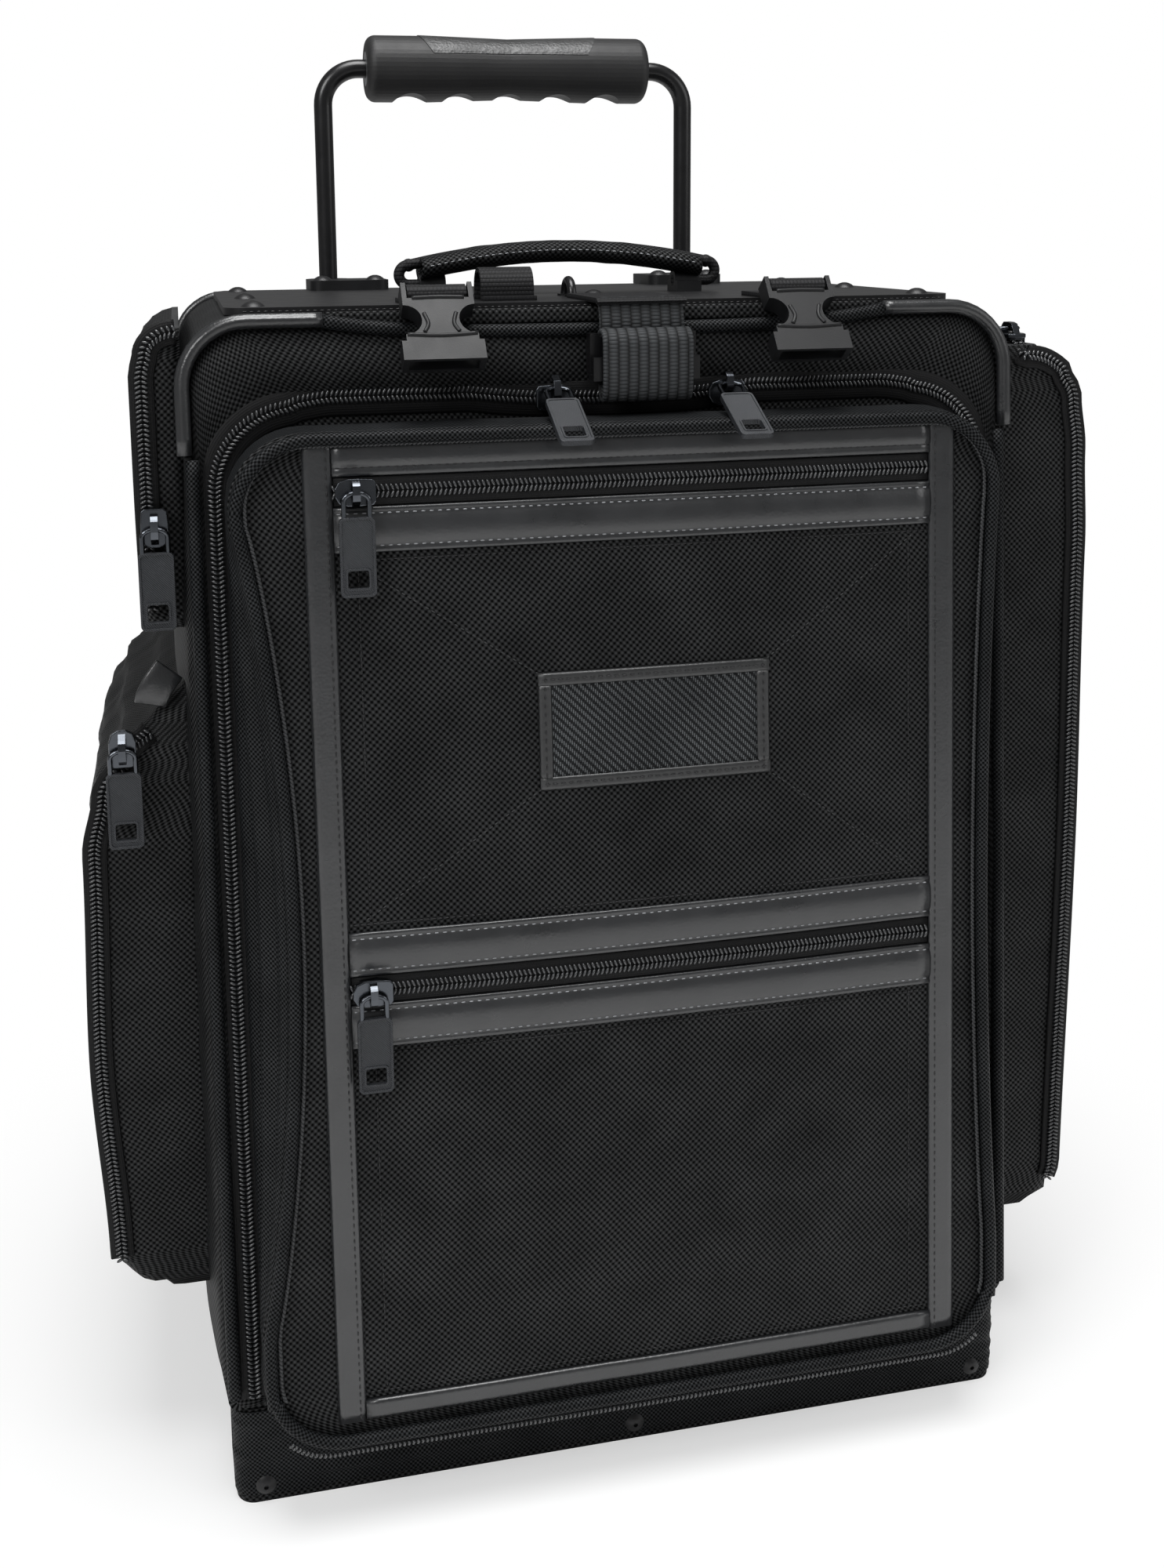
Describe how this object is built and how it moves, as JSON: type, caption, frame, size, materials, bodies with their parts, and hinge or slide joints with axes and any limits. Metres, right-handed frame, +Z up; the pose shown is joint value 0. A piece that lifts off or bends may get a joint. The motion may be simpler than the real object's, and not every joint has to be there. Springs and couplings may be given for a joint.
{
  "type": "wheeled pilot case",
  "caption": "Soft-sided wheeled pilot case with a zipped fold-down front, side pockets, hanging buckles, a carry handle and a telescopic pull handle.",
  "frame": {"origin": "on the floor, under the middle of the body's depth and width, on the plinth's flat underside", "axes": "+Z up, the zipped front faces -Y, +X is the side of the tall pocket"},
  "size_m": [0.444, 0.2935, 0.6323],
  "materials": {
    "nylon": "coarse ballistic nylon weave",
    "webbing": "ribbed webbing and zip tape",
    "leather": "smooth coated leather trim",
    "zip_metal": "sandblasted black zinc",
    "coated_metal": "satin black coating",
    "moulded": "fine moulded texture",
    "alloy": "plain alloy",
    "soft_grip": "soft grained rubber",
    "tyre": "skate-wheel tread"
  },
  "bodies": {
    "case": {"base_plinth": "nylon", "wheel_housings": "moulded", "axles": "alloy", "body_shell": "nylon", "back_panel": "nylon", "front_border": "nylon", "frame_hoops": "alloy", "front_piping": "nylon", "corner_guards": "leather", "top_plate": "coated_metal", "rivets": "coated_metal", "bracket_screws": "alloy", "handle_brackets": "moulded", "guide_tubes": "coated_metal", "foot_brackets": "moulded", "carry_anchors": "moulded", "strap_loop": "webbing", "tie_loop": "coated_metal", "top_webbing": "webbing", "upper_pocket": "nylon", "lower_pouch": "nylon", "right_pocket": "nylon", "pocket_zips": "webbing"},
    "wheel_left": {"tyre_left": "tyre", "hub_left": "moulded", "bearings_left": "alloy"},
    "wheel_right": {"tyre_right": "tyre", "hub_right": "moulded", "bearings_right": "alloy"},
    "pull_handle": {"pull_rod": "coated_metal", "grip": "soft_grip", "grip_inset": "soft_grip", "grip_collars": "alloy", "rod_plugs": "moulded"},
    "carry_handle": {"carry_sleeve": "nylon", "carry_core": "webbing"},
    "centre_strap": {"hook_strap": "webbing", "strap_hook": "coated_metal"},
    "buckle_left": {"buckle_left": "moulded"},
    "buckle_right": {"buckle_right": "moulded"},
    "lid": {"lid_gusset": "nylon", "lid_panel": "nylon", "lid_piping": "nylon", "lid_trim": "leather", "lid_zips": "webbing", "patch": "nylon"},
    "slider_lid_left": {"slider_lid_left": "zip_metal"},
    "pull_lid_left": {"pull_lid_left": "zip_metal"},
    "slider_lid_right": {"slider_lid_right": "zip_metal"},
    "pull_lid_right": {"pull_lid_right": "zip_metal"},
    "slider_panel_upper": {"slider_panel_upper": "zip_metal"},
    "pull_panel_upper": {"pull_panel_upper": "zip_metal"},
    "slider_panel_lower": {"slider_panel_lower": "zip_metal"},
    "pull_panel_lower": {"pull_panel_lower": "zip_metal"},
    "slider_pocket_upper": {"slider_pocket_upper": "zip_metal"},
    "pull_pocket_upper": {"pull_pocket_upper": "zip_metal"},
    "slider_pouch": {"slider_pouch": "zip_metal"},
    "pull_pouch": {"pull_pouch": "zip_metal"},
    "slider_right": {"slider_right": "zip_metal"},
    "pull_right": {"pull_right": "zip_metal"}
  },
  "joints": [
    {"name": "wheel_left_spin", "type": "hinge", "parent": "case", "child": "wheel_left", "pos_m": [-0.15, 0.076, 0.035], "axis": [1, 0, 0], "continuous": true},
    {"name": "wheel_right_spin", "type": "hinge", "parent": "case", "child": "wheel_right", "pos_m": [0.15, 0.076, 0.035], "axis": [1, 0, 0], "continuous": true},
    {"name": "handle_slide", "type": "slide", "parent": "case", "child": "pull_handle", "axis": [0, 0, 1], "range_m": [-0.072, 0.3]},
    {"name": "carry_pivot", "type": "hinge", "parent": "case", "child": "carry_handle", "pos_m": [0, -0.008, 0.5071], "axis": [1, 0, 0], "range_deg": [-42, 42]},
    {"name": "strap_pivot", "type": "hinge", "parent": "case", "child": "centre_strap", "pos_m": [0.01, -0.11095, 0.4997], "axis": [-1, 0, 0], "range_deg": [0, 58]},
    {"name": "buckle_left_pivot", "type": "hinge", "parent": "case", "child": "buckle_left", "pos_m": [-0.074, -0.104, 0.5062], "axis": [-1, 0, 0], "range_deg": [-2, 85]},
    {"name": "buckle_right_pivot", "type": "hinge", "parent": "case", "child": "buckle_right", "pos_m": [0.08, -0.104, 0.5062], "axis": [-1, 0, 0], "range_deg": [-2, 85]},
    {"name": "lid_hinge", "type": "hinge", "parent": "case", "child": "lid", "pos_m": [0, -0.146, 0.036], "axis": [1, 0, 0], "range_deg": [0, 85]},
    {"name": "slider_lid_left_run", "type": "slide", "parent": "lid", "child": "slider_lid_left", "axis": [-1, 0, 0], "range_m": [0, 0.09]},
    {"name": "slider_lid_right_run", "type": "slide", "parent": "lid", "child": "slider_lid_right", "axis": [1, 0, 0], "range_m": [0, 0.07]},
    {"name": "slider_panel_upper_run", "type": "slide", "parent": "lid", "child": "slider_panel_upper", "axis": [1, 0, 0], "range_m": [0, 0.225]},
    {"name": "slider_panel_lower_run", "type": "slide", "parent": "lid", "child": "slider_panel_lower", "axis": [1, 0, 0], "range_m": [0, 0.225]},
    {"name": "slider_pocket_upper_run", "type": "slide", "parent": "case", "child": "slider_pocket_upper", "axis": [0, 0, 1], "range_m": [-0.025, 0.05]},
    {"name": "slider_pouch_run", "type": "slide", "parent": "case", "child": "slider_pouch", "axis": [0, 0, 1], "range_m": [-0.205, 0.006]},
    {"name": "slider_right_run", "type": "slide", "parent": "case", "child": "slider_right", "axis": [0, 1, 0], "range_m": [0, 0.16]},
    {"name": "pull_lid_left_pivot", "type": "hinge", "parent": "slider_lid_left", "child": "pull_lid_left", "pos_m": [-0.026, -0.11257, 0.46758], "axis": [-1, 0, 0], "range_deg": [0, 90]},
    {"name": "pull_lid_right_pivot", "type": "hinge", "parent": "slider_lid_right", "child": "pull_lid_right", "pos_m": [0.048, -0.11257, 0.46758], "axis": [-1, 0, 0], "range_deg": [0, 90]},
    {"name": "pull_panel_upper_pivot", "type": "hinge", "parent": "slider_panel_upper", "child": "pull_panel_upper", "pos_m": [-0.112, -0.14007, 0.43219], "axis": [-1, 0, 0], "range_deg": [-2, 140]},
    {"name": "pull_panel_lower_pivot", "type": "hinge", "parent": "slider_panel_lower", "child": "pull_panel_lower", "pos_m": [-0.112, -0.15292, 0.23119], "axis": [-1, 0, 0], "range_deg": [-2, 140]},
    {"name": "pull_pocket_upper_pivot", "type": "hinge", "parent": "slider_pocket_upper", "child": "pull_pocket_upper", "pos_m": [-0.189, -0.1078, 0.416], "axis": [-1, 0, 0], "range_deg": [-3, 140]},
    {"name": "pull_pouch_pivot", "type": "hinge", "parent": "slider_pouch", "child": "pull_pouch", "pos_m": [-0.206, -0.1078, 0.326], "axis": [-1, 0, 0], "range_deg": [-3, 140]},
    {"name": "pull_right_pivot", "type": "hinge", "parent": "slider_right", "child": "pull_right", "pos_m": [0.189, -0.088, 0.4858], "axis": [1, 0, 0], "range_deg": [0, 140]}
  ]
}
